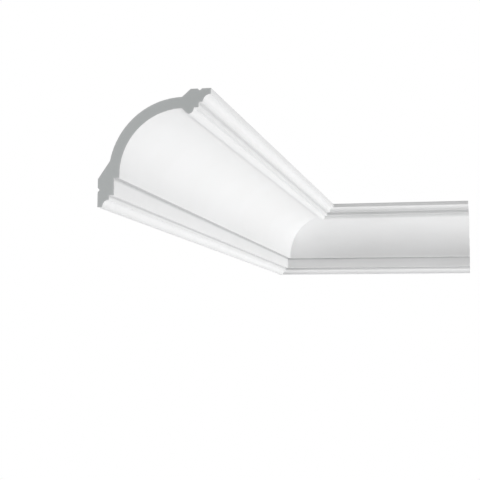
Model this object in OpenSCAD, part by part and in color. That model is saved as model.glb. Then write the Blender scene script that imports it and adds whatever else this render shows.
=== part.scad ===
// Inside corner of a coved ceiling cornice: two lengths of one moulding, mitred together.
// X runs away from the side wall, -Y away from the back wall, Z up to the ceiling.
// The origin is the corner of the two walls, level with the cornice's lower edge.

/* [Lengths] */
// Length of the run on the side wall, measured along the wall
side_run = 1000; // [250:10:2000]
// Length of the run on the back wall, measured along the wall
back_run = 360; // [250:10:2000]

/* [Section] */
// How far the cornice stands out from the wall along the ceiling
projection = 120; // [100:1:150]
// How far the cornice reaches down the wall from the ceiling
drop = 120; // [100:1:150]
// Thickness of the curved shell between the foot and the head
shell = 12; // [8:0.5:15]

/* [Foot on the wall] */
// Height of the stepped foot below the cove
foot_height = 30; // [30:0.5:36]
// Distance from the wall to the start of the cove
cove_projection = 23.5; // [20:0.5:28]
// Distance from the wall to the flat fascia
fascia_projection = 18; // [15:0.5:19]
// Height of the flat fascia
fascia_height = 18; // [12:0.5:18]
// Distance from the wall to the small fillet under the fascia
foot_fillet_projection = 12.5; // [10:0.5:13]
// Height of the small fillet under the fascia
foot_fillet_height = 4.5; // [2:0.5:5]
// Thickness of the lower edge
edge_thickness = 5.5; // [5:0.5:7]

/* [Head on the ceiling] */
// Depth from the ceiling to the top of the cove
head_depth = 20; // [20:0.5:24]
// Distance from the front of the cornice to the end of the cove
head_width = 30.5; // [26:0.5:34]
// Height of the front fillet against the ceiling
head_fillet_height = 6; // [3:0.5:6]
// Width of the tiny step between the front fillet and its hollow
quirk = 0.3; // [0.2:0.1:0.6]
// Radius of the hollow under the front fillet
head_hollow_radius = 8; // [6:0.5:8]
// Width of the ledge behind the hollow
ledge_width = 4.5; // [3:0.5:5]
// Height of the fillet above the bead
bead_fillet_height = 5.3; // [3:0.1:5.5]
// Width of the ledge behind that fillet
bead_ledge = 5; // [3:0.5:5.5]
// Radius of the quarter-round bead
bead_radius = 6.2; // [4:0.1:7]

/* [Back] */
// Height of the flat bed on the wall
wall_bed = 29.5; // [24:0.5:32]
// Width of the flat bed on the ceiling
ceiling_bed = 21.5; // [18:0.5:26]
// Slope of the back above the wall bed, in degrees from level
wall_slope = 55.5; // [50:0.5:58]
// Slope of the back behind the ceiling bed, in degrees from level
ceiling_slope = 41.5; // [40:0.5:48]
// Width of the glue groove in each bed
groove_width = 5; // [3:0.5:8]
// Depth of the glue groove in each bed
groove_depth = 2; // [1:0.5:3]
// Height of the wall bed's groove above the lower edge
wall_groove_height = 18; // [12:0.5:20]
// Distance of the ceiling bed's groove behind the front
ceiling_groove_setback = 11.8; // [8:0.1:14]

/* [Hidden] */
$fn = 128;
cut_over = 1; // how far a cut runs past the face it opens
foot_hollow_radius = foot_fillet_projection - edge_thickness;
foot_fillet_bottom = foot_height - fascia_height - foot_fillet_height;
foot_hollow_level = foot_fillet_bottom - foot_hollow_radius;
cove_top = drop - head_depth;
cove_end = projection - head_width;
cove_radius = min(cove_end - cove_projection, cove_top - foot_height);
cove_centre = [cove_projection + cove_radius, cove_top - cove_radius];
head_hollow_centre = [projection - quirk, drop - head_fillet_height - quirk - head_hollow_radius];
bead_fillet_front = head_hollow_centre[0] - head_hollow_radius - ledge_width;
bead_fillet_bottom = head_hollow_centre[1] - bead_fillet_height;
bead_centre = [bead_fillet_front - bead_ledge - bead_radius, cove_top];

// All that lies on the room side of the cove, grown backwards by the thickness given
module cove_room(grown) {
    reach = cove_radius + grown;
    translate(cove_centre) circle(r = reach);
    translate([cove_centre[0] - reach, 0]) square([reach, cove_centre[1]]);
    translate([cove_centre[0], 0]) square([projection, cove_centre[1] + reach]);
}

// The block between the two beds, with the cove taken out of it
module cove_block() {
    difference() {
        translate([0, foot_height]) square([cove_end, drop - foot_height]);
        cove_room(0);
    }
}

// Fascia, fillet and quarter hollow, from the cove down to the lower edge
module foot() {
    translate([0, foot_height - fascia_height]) square([fascia_projection, fascia_height]);
    difference() {
        square([foot_fillet_projection, foot_height]);
        translate([foot_fillet_projection, foot_hollow_level]) circle(r = foot_hollow_radius);
        translate([edge_thickness, -cut_over]) square([projection, foot_hollow_level + cut_over]);
    }
}

// Fillet, hollow, second fillet and bead, from the ceiling down to the cove
module head() {
    translate([cove_end, drop - head_fillet_height]) square([head_width, head_fillet_height]);
    difference() {
        translate([cove_end, head_hollow_centre[1]])
            square([head_hollow_centre[0] - cove_end, drop - head_hollow_centre[1]]);
        translate(head_hollow_centre) circle(r = head_hollow_radius);
    }
    translate([cove_end, bead_fillet_bottom])
        square([bead_fillet_front - cove_end, drop - bead_fillet_bottom]);
    bead();
}

// Quarter round towards the room, with a slanted back down to its lower edge
module bead() {
    translate([cove_end, cove_top])
        square([bead_centre[0] + bead_radius - cove_end, head_depth]);
    intersection() {
        translate(bead_centre) circle(r = bead_radius);
        translate(bead_centre - [0, bead_radius]) square(bead_radius);
    }
    polygon([
        [cove_end, cove_top],
        bead_centre - [0, bead_radius],
        bead_centre,
    ]);
}

// The open space behind the shell: outside the grown cove, between the two sloping backs
module back_space() {
    bed_start = projection - ceiling_bed;
    difference() {
        polygon([
            [-cut_over, wall_bed - cut_over * tan(wall_slope)],
            [cove_projection, wall_bed + cove_projection * tan(wall_slope)],
            cove_centre,
            [bed_start - head_depth / tan(ceiling_slope), cove_top],
            [bed_start + cut_over / tan(ceiling_slope), drop + cut_over],
            [-cut_over, drop + cut_over],
        ]);
        cove_room(shell);
    }
}

// One V-shaped groove, opening downwards onto a bed that lies along the X axis
module glue_groove() {
    half = groove_width / 2;
    over = cut_over * half / groove_depth;
    polygon([[-half - over, -cut_over], [half + over, -cut_over], [0, groove_depth]]);
}

module section() {
    difference() {
        union() {
            foot();
            cove_block();
            head();
        }
        back_space();
        translate([0, wall_groove_height]) rotate(-90) glue_groove();
        translate([projection - ceiling_groove_setback, drop]) rotate(180) glue_groove();
    }
}

// One length from the corner, square at the far end and mitred where it meets the other
module mitred_length(run) {
    difference() {
        rotate([90, 0, 0]) linear_extrude(run) section();
        translate([0, 0, -cut_over])
            linear_extrude(drop + 2 * cut_over)
                polygon([
                    [-cut_over, cut_over],
                    [projection + cut_over, -projection - cut_over],
                    [projection + cut_over, cut_over],
                ]);
    }
}

module side_length() {
    color([0.95, 0.95, 0.95]) mitred_length(side_run);
}

module back_length() {
    color([0.9, 0.9, 0.91]) mirror([1, 1, 0]) mitred_length(back_run);
}

side_length();
back_length();
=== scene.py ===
import math

import bmesh
import bpy
from mathutils import Matrix, Vector
from mathutils.kdtree import KDTree


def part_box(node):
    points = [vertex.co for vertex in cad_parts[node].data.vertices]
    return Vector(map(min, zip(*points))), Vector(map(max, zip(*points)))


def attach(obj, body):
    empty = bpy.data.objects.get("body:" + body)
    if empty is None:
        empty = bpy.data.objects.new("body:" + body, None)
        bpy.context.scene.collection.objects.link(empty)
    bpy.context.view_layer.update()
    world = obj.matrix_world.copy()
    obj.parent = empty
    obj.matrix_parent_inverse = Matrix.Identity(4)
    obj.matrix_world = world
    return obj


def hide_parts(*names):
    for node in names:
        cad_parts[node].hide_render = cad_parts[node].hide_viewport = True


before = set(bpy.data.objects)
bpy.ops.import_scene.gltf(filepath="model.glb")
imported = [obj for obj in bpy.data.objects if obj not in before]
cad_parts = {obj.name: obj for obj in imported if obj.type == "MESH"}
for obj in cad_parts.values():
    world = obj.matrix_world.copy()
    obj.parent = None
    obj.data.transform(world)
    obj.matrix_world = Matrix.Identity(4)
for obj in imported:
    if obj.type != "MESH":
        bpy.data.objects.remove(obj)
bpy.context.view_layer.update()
print("frame loaded:", ", ".join(sorted(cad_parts)))

mm = 0.001
up = Vector((0, 0, 1))


def deselectAll():
    if bpy.context.object and bpy.context.object.mode != "OBJECT":
        bpy.ops.object.mode_set(mode="OBJECT")
    bpy.ops.object.select_all(action="DESELECT")


def pick(piece, kind, wanted):  # selects just the points or faces that pass the test
    bpy.ops.mesh.select_mode(type=kind)
    bpy.ops.mesh.select_all(action="DESELECT")
    mesh = bmesh.from_edit_mesh(piece.data)
    for part in mesh.verts if kind == "VERT" else mesh.faces:
        part.select = wanted(part)
    mesh.select_flush_mode()
    bmesh.update_edit_mesh(piece.data)


class Wire:  # an output socket that can be used in sums
    def __init__(self, tree, socket):
        self.tree = tree
        self.socket = socket

    def maths(self, operation, first, second):
        inputs = {"Value": first, "Value_001": second}
        return self.tree.add("ShaderNodeMath", {"operation": operation}, inputs)

    def __add__(self, other):
        return self.maths("ADD", self, other)

    def __radd__(self, other):
        return self.maths("ADD", other, self)

    def __rsub__(self, other):
        return self.maths("SUBTRACT", other, self)

    def __mul__(self, other):
        return self.maths("MULTIPLY", self, other)

    def __rmul__(self, other):
        return self.maths("MULTIPLY", other, self)


class Tree:  # the nodes of one material or of the world
    def __init__(self, owner):
        owner.use_nodes = True
        self.nodes = owner.node_tree.nodes
        self.links = owner.node_tree.links

    def add(self, nodeType, settings, inputs, output=None):
        node = self.nodes.new(nodeType)
        for name, value in settings.items():
            if name == "stops":
                ramp = node.color_ramp.elements
                while len(ramp) < len(value):
                    ramp.new(0.5)
                for stop, (position, level) in zip(ramp, value):
                    stop.position = position
                    stop.color = (level, level, level, 1)
            else:
                setattr(node, name, value)
        for name, value in inputs.items():
            self.feed(next(s for s in node.inputs if s.identifier == name), value)
        chosen = next((s for s in node.outputs if s.identifier == output), None)
        return Wire(self, chosen or node.outputs[0])

    def feed(self, socket, value):
        if isinstance(value, Wire):
            self.links.new(value.socket, socket)
        else:
            socket.default_value = value


class Finish(Tree):  # a material on the piece's own coordinates
    def __init__(self, name):
        self.material = bpy.data.materials.new(name)
        super().__init__(self.material)
        self.shader = self.nodes["Principled BSDF"]
        self.place = self.add("ShaderNodeTexCoord", {}, {}, "Object")

    def set(self, **values):  # the shader's own sockets, with underscores for spaces
        for name, value in values.items():
            self.feed(self.shader.inputs[name.replace("_", " ")], value)

    def attribute(self, name):
        return self.add("ShaderNodeAttribute", {"attribute_name": name}, {}, "Fac")

    def stretched(self, scale):
        return self.add("ShaderNodeMapping", {}, {"Vector": self.place, "Scale": scale})

    def noise(self, scale, detail, where=None):
        inputs = {"Vector": where or self.place, "Scale": scale, "Detail": detail}
        return self.add("ShaderNodeTexNoise", {}, inputs)

    def cells(self, scale):
        return self.add("ShaderNodeTexVoronoi", {}, {"Vector": self.place, "Scale": scale})

    def ramp(self, value, *stops):
        return self.add("ShaderNodeValToRGB", {"stops": stops}, {"Fac": value})

    def blendColour(self, share, first, second):
        inputs = {"Factor_Float": share, "A_Color": first, "B_Color": second}
        return self.add("ShaderNodeMix", {"data_type": "RGBA"}, inputs, "Result_Color")

    def relief(self, height, depth):
        return self.add("ShaderNodeBump", {}, {"Height": height, "Distance": depth, "Strength": 1.0})


def grey(level):
    return (level, level, level, 1)


primer = {
    "white": (0.86, 0.862, 0.865, 1),
    "patch": (0.848, 0.85, 0.85, 1),   # where the primer lies a little thinner
    "paintedShade": (0.50, 0.505, 0.508, 1),   # painted shade: the grey that darkens the inner corners and the top edge
    "patchSize": 9,                    # noise scale, about 110 mm
    "patchDetail": 4,
    "patchFrom": 0.42,
    "patchTo": 0.62,
    "peelSize": 900,                   # fine orange peel, about 1 mm
    "peelDetail": 3,
    "peelDepth": 0.012 * mm,
    "streakSize": 420,
    "streakDetail": 2,
    "streakStretch": 0.04,             # how far the mould's marks draw out along the run
    "streakRelief": 0.6,               # against the peel's
    "satin": 0.46,                     # roughness
    "satinSpread": 0.08,
    "gloss": 0.35,
}


def primedWhite(name, runAxis):
    finish = Finish(name)
    along = [1, 1, 1]
    along[runAxis] = primer["streakStretch"]
    cloud = finish.noise(primer["patchSize"], primer["patchDetail"])
    patches = finish.ramp(cloud, (primer["patchFrom"], 0), (primer["patchTo"], 1))
    streaks = finish.noise(primer["streakSize"], primer["streakDetail"], finish.stretched(along))
    peel = finish.noise(primer["peelSize"], primer["peelDetail"])
    white = finish.blendColour(patches, primer["white"], primer["patch"])
    finish.set(
        # painted shade: the colour turns grey where the points carry the corner shade mark
        Base_Color=finish.blendColour(finish.attribute("thinPrimer"), white, primer["paintedShade"]),
        Roughness=primer["satin"] + primer["satinSpread"] * streaks,
        Specular_IOR_Level=primer["gloss"],
        Normal=finish.relief(peel + primer["streakRelief"] * streaks, primer["peelDepth"]),
    )
    return finish.material


sawnFoam = {
    "core": (0.552, 0.572, 0.571, 1),
    "pore": (0.42, 0.435, 0.437, 1),
    "poreShare": 0.7,
    "poreWidth": 0.32,                 # share of a cell
    "skin": (0.60, 0.615, 0.617, 1),   # the denser foam near the mould's face
    "skinShare": 0.8,
    "skinDepth": 2.2 * mm,
    "cellSize": 1500,                  # about 0.7 mm
    "sawMarks": 260,
    "sawDetail": 2,
    "sawStretch": (1, 1, 0.12),        # the saw went up and down
    "sawRelief": 0.5,                  # against the cells'
    "depth": 0.10 * mm,
    "rough": 0.85,
    "skinSmoother": 0.1,
}


def greyCore():
    finish = Finish("sawnFoam")
    pores = finish.ramp(finish.cells(sawnFoam["cellSize"]), (0.0, 1), (sawnFoam["poreWidth"], 0))
    upright = finish.stretched(sawnFoam["sawStretch"])
    saw = finish.noise(sawnFoam["sawMarks"], sawnFoam["sawDetail"], upright)
    inside = finish.attribute("fromSkin") * (1 / sawnFoam["skinDepth"])
    dense = finish.ramp(inside, (0.0, 1), (1.0, 0))
    foam = finish.blendColour(pores * sawnFoam["poreShare"], sawnFoam["core"], sawnFoam["pore"])
    finish.set(
        Base_Color=finish.blendColour(dense * sawnFoam["skinShare"], foam, sawnFoam["skin"]),
        Roughness=sawnFoam["rough"] - sawnFoam["skinSmoother"] * dense,
        Normal=finish.relief((1 - pores) + sawnFoam["sawRelief"] * saw, sawnFoam["depth"]),
    )
    return finish.material


backSkin = {
    "skin": (0.80, 0.795, 0.775, 1),
    "stain": (0.772, 0.765, 0.742, 1),
    "stainSize": 14,
    "stainDetail": 5,
    "stainFrom": 0.4,
    "stainTo": 0.7,
    "grain": 300,
    "grainDetail": 4,
    "depth": 0.05 * mm,
    "rough": 0.6,
    "roughSpread": 0.2,
}


def rawBack():
    finish = Finish("rawBackSkin")
    cloud = finish.noise(backSkin["stainSize"], backSkin["stainDetail"])
    stains = finish.ramp(cloud, (backSkin["stainFrom"], 0), (backSkin["stainTo"], 1))
    grain = finish.noise(backSkin["grain"], backSkin["grainDetail"])
    finish.set(
        Base_Color=finish.blendColour(stains, backSkin["skin"], backSkin["stain"]),
        Roughness=backSkin["rough"] + backSkin["roughSpread"] * grain,
        Normal=finish.relief(grain, backSkin["depth"]),
    )
    return finish.material


section = {  # millimetres, out from the wall and up from the lower edge
    "shell": 12,
    "footHeight": 30,
    "covePlane": 23.5,
    "fasciaPlane": 18,
    "fasciaHeight": 18,
    "footFilletPlane": 12.5,
    "footFilletHeight": 4.5,
    "edge": 5.5,
    "headDepth": 20,
    "headWidth": 30.5,
    "headFillet": 6,
    "quirk": 0.3,
    "headHollow": 8,
    "ledge": 4.5,
    "beadFillet": 5.3,
    "beadLedge": 5,
    "bead": 6.2,
    "wallBed": 29.5,
    "ceilingBed": 21.5,
    "wallSlope": 55.5,       # degrees from level
    "ceilingSlope": 41.5,
    "grooveWidth": 5,
    "grooveDepth": 2,
    "wallGroove": 18,        # height of the groove in the wall bed
    "ceilingGroove": 11.8,   # distance of the other groove behind the front
    "arris": 0.6,            # rounding of the outer edges
    "softCorner": 0.35,      # rounding of the inner corners
    "fineArris": 0.22,       # rounding where the moulding is too small for more
    "arrisSteps": 3,
    "hollowSteps": 14,       # faces round each small hollow and the bead
    "coveSteps": 56,
    "backSteps": 40,
    "fasciaFade": 3.5,       # reach of the painted corner shade out over the fascia
    "filletFade": 2.8,       # and out of the corner over the foot's fillet
    "topFade": 0.8,          # and down from the ceiling's edge, a painted contact shadow
    "fasciaShade": 0.95,      # how dark the painted shade lies in each corner
    "soffitShade": 0.7,
    "filletShade": 0.75,
    "ledgeShade": 0.6,
    "beadShade": 0.25,
    # the top edge's mark is a painted shadow where a ceiling would meet it
    "topEdgeShadow": 0.9,
    "cornerReach": 0.4,      # which points belong to a corner
}


def onCircle(start, degrees, centre, radius):  # where a line from start first meets the circle
    heading = Vector((math.cos(math.radians(degrees)), math.sin(math.radians(degrees))))
    back = start - centre
    reach = heading.dot(back)
    return start + heading * (-reach - math.sqrt(reach * reach - back.length_squared + radius * radius))


class Outline:  # strokes of the section, with the rounding and the painted shade of the corner at each end
    def __init__(self, start, rounding):
        self.start = start
        self.strokes = []
        self.here = start
        self.corners = [(start, rounding)]
        self.paintedShadeSpots = []

    def line(self, out, height, rounding=0, paintedShade=0):
        self.here = Vector((out, height))
        if paintedShade:
            self.paintedShadeSpots.append((self.here, paintedShade))
        self.strokes.append(("line", self.here, 0, 0))  # kind, point or centre, degrees, steps
        self.corners.append((self.here, rounding))

    def arc(self, centre, degrees, steps, rounding=0):
        spoke = self.here - centre
        spoke.rotate(Matrix.Rotation(math.radians(degrees), 2))
        self.here = centre + spoke
        self.strokes.append(("arc", centre, degrees, steps))
        self.corners.append((self.here, rounding))


def drawSection(size, projection, drop):
    arris, soft, fine = size["arris"], size["softCorner"], size["fineArris"]
    footHollow = size["footFilletPlane"] - size["edge"]
    fasciaBottom = size["footHeight"] - size["fasciaHeight"]
    hollowLevel = fasciaBottom - size["footFilletHeight"] - footHollow
    coveTop, coveEnd = drop - size["headDepth"], projection - size["headWidth"]
    coveRadius = min(coveEnd - size["covePlane"], coveTop - size["footHeight"])
    coveCentre = Vector((size["covePlane"] + coveRadius, coveTop - coveRadius))
    headHollow = Vector((
        projection - size["quirk"],
        drop - size["headFillet"] - size["quirk"] - size["headHollow"],
    ))
    beadFilletFront = headHollow.x - size["headHollow"] - size["ledge"]
    beadFilletBottom = headHollow.y - size["beadFillet"]
    beadCentre = Vector((beadFilletFront - size["beadLedge"] - size["bead"], coveTop))
    halfGroove = size["grooveWidth"] / 2

    path = Outline(Vector((0, 0)), soft)
    path.line(size["edge"], 0, fine)
    path.line(size["edge"], hollowLevel)
    path.arc(Vector((size["footFilletPlane"], hollowLevel)), -90, size["hollowSteps"], soft)
    path.line(size["footFilletPlane"], fasciaBottom - size["filletFade"])
    path.line(size["footFilletPlane"], fasciaBottom, soft, size["filletShade"])
    path.line(size["fasciaPlane"], fasciaBottom, arris)
    path.line(size["fasciaPlane"], size["footHeight"] - size["fasciaFade"])
    path.line(size["fasciaPlane"], size["footHeight"], soft, size["fasciaShade"])
    path.line(size["covePlane"] - 2 * arris, size["footHeight"], 0, size["soffitShade"])
    path.line(size["covePlane"], size["footHeight"], arris)
    path.line(size["covePlane"], coveCentre.y)
    path.arc(coveCentre, -90, size["coveSteps"], soft)
    path.line(beadCentre.x, coveTop - size["bead"], soft)
    path.arc(beadCentre, 90, size["hollowSteps"])
    path.line(beadCentre.x + size["bead"], beadFilletBottom, fine, size["beadShade"])
    path.line(beadFilletFront, beadFilletBottom, soft)
    path.line(beadFilletFront, headHollow.y, soft, size["ledgeShade"])
    path.line(headHollow.x - size["headHollow"], headHollow.y, soft)
    path.arc(headHollow, -90, size["hollowSteps"])
    path.line(headHollow.x, drop - size["headFillet"])
    path.line(projection, drop - size["headFillet"], fine)
    path.line(projection, drop - size["topFade"])
    path.line(projection, drop, soft, size["topEdgeShadow"])
    grooveAt = projection - size["ceilingGroove"]
    path.line(grooveAt + halfGroove, drop)
    path.line(grooveAt, drop - size["grooveDepth"])
    path.line(grooveAt - halfGroove, drop)
    path.line(projection - size["ceilingBed"], drop, soft)
    outer = coveRadius + size["shell"]
    top = onCircle(path.here, 180 + size["ceilingSlope"], coveCentre, outer)
    foot = onCircle(Vector((0, size["wallBed"])), size["wallSlope"], coveCentre, outer)
    path.line(top.x, top.y, soft)
    turn = (foot - coveCentre).angle_signed(top - coveCentre)
    path.arc(coveCentre, abs(math.degrees(turn)), size["backSteps"], soft)
    path.line(0, size["wallBed"], soft)
    path.line(0, size["wallGroove"] + halfGroove)
    path.line(size["grooveDepth"], size["wallGroove"])
    path.line(0, size["wallGroove"] - halfGroove)
    path.line(0, 0)
    return path, coveCentre, coveRadius


lengthMaking = {
    "station": 0.05,           # spacing of the edge loops along the run
    "sawArris": 0.12 * mm,     # break of the sawn edges
    "sawGrid": 1.25 * mm,      # mesh of the sawn face
    "sawDepth": 0.12 * mm,     # how far the saw pulls the foam's cells in
    "sawCells": 1.6 * mm,      # how wide its hollows are
    "smoothAngle": 28,         # degrees
    "joined": 0.01 * mm,       # points nearer than this are one
    "cornerFound": 0.02 * mm,
    "facing": 0.99,            # how squarely a face looks along a direction
    "backTilt": 0.3,           # the least that a face of the back looks up or to the wall
}


def cutLength(name, node, out, run, farEnd, finishes):
    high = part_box("side_length")[1]  # both lengths have its section
    projection, drop = high.x / mm, high.z / mm
    path, coveCentre, coveRadius = drawSection(section, projection, drop)
    endPlane = run * farEnd
    mitre = (out - run).normalized()
    inward = up.cross(out)  # looking along this, the section reads outwards to the right

    def place(point):
        return endPlane + (out * point.x + up * point.y) * mm

    deselectAll()
    bpy.ops.mesh.primitive_plane_add(size=mm, location=place(path.start))
    piece = bpy.context.object
    piece.name = name
    bpy.ops.object.transform_apply(location=True, rotation=True, scale=True)
    bpy.ops.object.mode_set(mode="EDIT")
    bpy.ops.mesh.select_mode(type="VERT")
    bpy.ops.mesh.select_all(action="SELECT")
    bpy.ops.mesh.merge(type="CENTER")
    here = path.start
    for kind, point, degrees, steps in path.strokes:
        if kind == "line":
            move = place(point) - place(here)
            bpy.ops.mesh.extrude_region_move(TRANSFORM_OT_translate={"value": move})
            here = point
        else:
            bpy.ops.mesh.spin(steps=steps, angle=math.radians(degrees), center=place(point), axis=inward)
            spoke = here - point
            spoke.rotate(Matrix.Rotation(math.radians(degrees), 2))
            here = point + spoke
    bpy.ops.mesh.select_all(action="SELECT")
    bpy.ops.mesh.remove_doubles(threshold=lengthMaking["joined"])

    for rounding in sorted({r for _, r in path.corners if r}, reverse=True):
        spots = [place(p) for p, r in path.corners if r == rounding]
        pick(piece, "VERT", lambda v: any((v.co - s).length < lengthMaking["cornerFound"] for s in spots))
        bpy.ops.mesh.bevel(
            offset=rounding * mm, segments=section["arrisSteps"], affect="VERTICES", clamp_overlap=False
        )
    bpy.ops.mesh.select_all(action="SELECT")
    bpy.ops.mesh.edge_face_add()
    stations = math.ceil(farEnd / lengthMaking["station"])
    for _ in range(stations):
        step = run * (-farEnd / stations)
        bpy.ops.mesh.extrude_region_move(TRANSFORM_OT_translate={"value": step})
    bpy.ops.mesh.select_all(action="SELECT")
    bpy.ops.mesh.bisect(plane_co=(0, 0, 0), plane_no=mitre, clear_outer=True, use_fill=True)
    bpy.ops.mesh.select_all(action="SELECT")
    bpy.ops.mesh.normals_make_consistent(inside=False)

    pick(piece, "FACE", lambda f: isCut(f, run, mitre))
    bpy.ops.mesh.select_mode(type="EDGE")
    bpy.ops.mesh.region_to_loop()
    bpy.ops.mesh.bevel(offset=lengthMaking["sawArris"], segments=1, affect="EDGES", clamp_overlap=False)
    sawnGrid(piece, out, run, farEnd, projection, drop)

    for finish in finishes:
        piece.data.materials.append(finish)
    for face in piece.data.polygons:
        sawn, back = isCut(face, run, mitre), isBack(face, out, coveCentre, coveRadius)
        face.material_index = 1 if sawn else 2 if back else 0
    markPaintedShade(piece, out, path.paintedShadeSpots)
    bpy.ops.object.shade_smooth_by_angle(angle=math.radians(lengthMaking["smoothAngle"]))
    markDepth(piece)
    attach(piece, "root")
    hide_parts(node)
    print(name, "cut and mitred:", len(piece.data.polygons), "faces")


def isCut(face, run, mitre):  # on the square end or on the mitre
    return max(face.normal.dot(run), face.normal.dot(mitre)) > lengthMaking["facing"]


def isBack(face, out, coveCentre, coveRadius):  # on the hidden side, which gets no primer
    spot = Vector((face.center.dot(out), face.center.z)) / mm
    behind = (spot - coveCentre).length > coveRadius + section["shell"] / 2
    tilt = lengthMaking["backTilt"]
    return face.normal.z > tilt or (face.normal.dot(out) < -tilt and behind)


def sawnGrid(piece, out, run, farEnd, projection, drop):  # the saw leaves the open cells a little uneven
    def onEnd(face):
        gap = abs(face.calc_center_median().dot(run) - farEnd)
        return face.normal.dot(run) > lengthMaking["facing"] and gap < lengthMaking["joined"]

    for heading, reach in ((out, projection * mm), (up, drop * mm)):
        cuts = math.ceil(reach / lengthMaking["sawGrid"])
        for cut in range(1, cuts):
            pick(piece, "FACE", onEnd)
            bpy.ops.mesh.bisect(plane_co=heading * (reach * cut / cuts) + run * farEnd, plane_no=heading)
    pick(piece, "VERT", lambda v: all(onEnd(f) for f in v.link_faces))
    bpy.ops.object.vertex_group_assign_new()
    bpy.ops.object.mode_set(mode="OBJECT")
    cells = bpy.data.textures.new("openCells", "CLOUDS")
    cells.noise_scale = lengthMaking["sawCells"]
    bpy.ops.object.modifier_add(type="DISPLACE")
    sinking = piece.modifiers[-1]
    sinking.texture = cells
    sinking.texture_coords = "LOCAL"
    sinking.vertex_group = piece.vertex_groups[0].name
    sinking.strength = lengthMaking["sawDepth"]
    sinking.mid_level = 1  # so nothing stands out past the end
    bpy.ops.object.modifier_apply(modifier=sinking.name)
    piece.vertex_groups.clear()


def markPaintedShade(piece, out, paintedShadeSpots):  # painted shade in the inner corners and along the top edge, kept at the points, so that it fades from one to the next
    layer = piece.data.attributes.new("thinPrimer", "FLOAT", "POINT")
    reach = section["cornerReach"]
    for vert, mark in zip(piece.data.vertices, layer.data):
        spot = Vector((vert.co.dot(out), vert.co.z)) / mm
        mark.value = next((paintedShade for corner, paintedShade in paintedShadeSpots if (spot - corner).length < reach), 0)


def markDepth(piece):  # how far each sawn point lies from the skin, for the foam's shading
    mesh = bmesh.new()
    mesh.from_mesh(piece.data)
    layer = mesh.verts.layers.float.new("fromSkin")
    rim = [v for v in mesh.verts if any(f.material_index != 1 for f in v.link_faces)]
    tree = KDTree(len(rim))
    for number, vert in enumerate(rim):
        tree.insert(vert.co, number)
    tree.balance()
    for vert in mesh.verts:
        if all(f.material_index == 1 for f in vert.link_faces):
            vert[layer] = tree.find(vert.co)[2]
    mesh.to_mesh(piece.data)
    mesh.free()


sawnEnds = greyCore()
rawSkin = rawBack()
cutLength(
    "side_run_moulding", "side_length", Vector((1, 0, 0)), Vector((0, -1, 0)),
    -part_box("side_length")[0].y, [primedWhite("primedSide", 1), sawnEnds, rawSkin],
)
cutLength(
    "back_run_moulding", "back_length", Vector((0, -1, 0)), Vector((1, 0, 0)),
    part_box("back_length")[1].x, [primedWhite("primedBack", 0), sawnEnds, rawSkin],
)


viewpoint = {
    "eye": (0.3911, -2.0262, -0.1448),
    "turn": 13.136,      # degrees to the left of straight ahead
    "tilt": 5.876,       # degrees up
    "lean": 0.447,       # degrees
    "lens": 79.73,
}


def setCamera():
    camera = bpy.data.objects.new("camera", bpy.data.cameras.new("camera"))
    bpy.context.collection.objects.link(camera)
    camera.data.lens = viewpoint["lens"]
    camera.matrix_world = (
        Matrix.Translation(viewpoint["eye"])
        @ Matrix.Rotation(math.radians(viewpoint["turn"]), 4, "Z")
        @ Matrix.Rotation(math.radians(90 + viewpoint["tilt"]), 4, "X")
        @ Matrix.Rotation(math.radians(viewpoint["lean"]), 4, "Z")
    )
    bpy.context.scene.camera = camera


setCamera()


studio = {
    "floorBelow": 2.7,       # the floor of a 2.8 m high room, under the cornice
    "floorSize": 24,
    "floorWhite": 0.9,
    "floorFade": (0.8, 1),   # share of plain white under the object and far from it
    "fadeReach": 10.8,       # how far off the floor is all white
    "air": 0.375,            # strength of the even light from all round
    "aim": (0.1, -0.4, 0.06),
    "lamps": [
        {"name": "keyLamp", "at": (2.35, -0.35, -1.5), "size": 0.9, "watts": 46.5},
        {"name": "fillLamp", "at": (-1.5, -2.4, 0.06), "size": 0.9, "watts": 20.5},
        {"name": "lowLamp", "at": (0.1, -1.07, -2.45), "size": 0.9, "watts": 1.2},
        {"name": "backLamp", "at": (-1.9, 1.7, 1.9), "size": 1.4, "watts": 80},
    ],
}


def seenShare(tree):  # 1 where the camera or a reflection looks, 0 where light falls
    seen = tree.add("ShaderNodeLightPath", {}, {}, "Is Camera Ray")
    for kind in ("Is Glossy Ray", "Is Transmission Ray"):
        seen = seen.maths("MAXIMUM", seen, tree.add("ShaderNodeLightPath", {}, {}, kind))
    return seen


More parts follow.
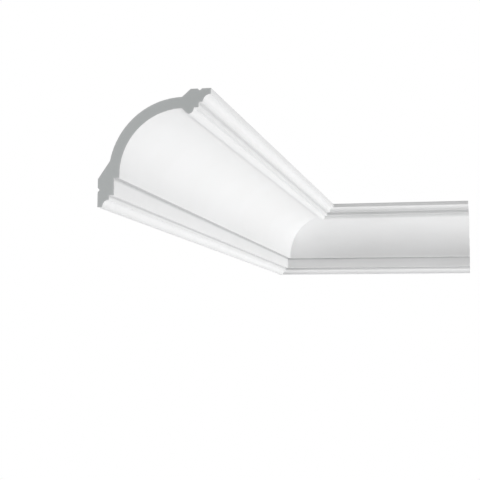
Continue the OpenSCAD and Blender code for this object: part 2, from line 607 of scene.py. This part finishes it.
def whiteWhereSeen(tree, whiteNode, lit, share):  # the light stays, and the eye finds plain white
    white = tree.add(whiteNode, {}, {"Color": grey(1), "Strength": 1})
    return tree.add("ShaderNodeMixShader", {}, {"Fac": share, "Shader": lit, "Shader_001": white})


def setAir():
    world = bpy.data.worlds.new("air")
    bpy.context.scene.world = world
    tree = Tree(world)
    light = tree.add("ShaderNodeBackground", {}, {"Color": grey(1), "Strength": studio["air"]})
    blend = whiteWhereSeen(tree, "ShaderNodeBackground", light, seenShare(tree))
    tree.feed(tree.nodes["World Output"].inputs["Surface"], blend)


def setFloor():
    deselectAll()
    below = -studio["floorBelow"]
    bpy.ops.mesh.primitive_plane_add(size=studio["floorSize"], location=(0, 0, below))
    floor = bpy.context.object
    floor.name = "floor"
    finish = Finish("paleFloor")
    finish.set(Base_Color=grey(studio["floorWhite"]), Roughness=1, Specular_IOR_Level=0)
    under, far = studio["floorFade"]
    distance = finish.add(
        "ShaderNodeVectorMath", {"operation": "LENGTH"}, {"Vector": finish.place}, "Value"
    )
    limits = {"From Min": 0, "From Max": studio["fadeReach"], "To Min": under, "To Max": far}
    fade = finish.add(
        "ShaderNodeMapRange", {"interpolation_type": "SMOOTHSTEP"}, {"Value": distance, **limits}
    )
    lit = Wire(finish, finish.shader.outputs[0])
    blend = whiteWhereSeen(finish, "ShaderNodeEmission", lit, seenShare(finish) * fade)
    finish.feed(finish.nodes["Material Output"].inputs["Surface"], blend)
    floor.data.materials.append(finish.material)


def setLamps():
    for lamp in studio["lamps"]:
        light = bpy.data.lights.new(lamp["name"], "AREA")
        light.size = lamp["size"]
        light.energy = lamp["watts"]
        holder = bpy.data.objects.new(lamp["name"], light)
        bpy.context.collection.objects.link(holder)
        holder.location = lamp["at"]
        holder.visible_camera = False
        towards = Vector(studio["aim"]) - Vector(lamp["at"])
        holder.rotation_euler = towards.to_track_quat("-Z", "Y").to_euler()


bpy.context.scene.view_settings.view_transform = "Standard"
setAir()
setFloor()
setLamps()
print("camera, floor and lamps set")
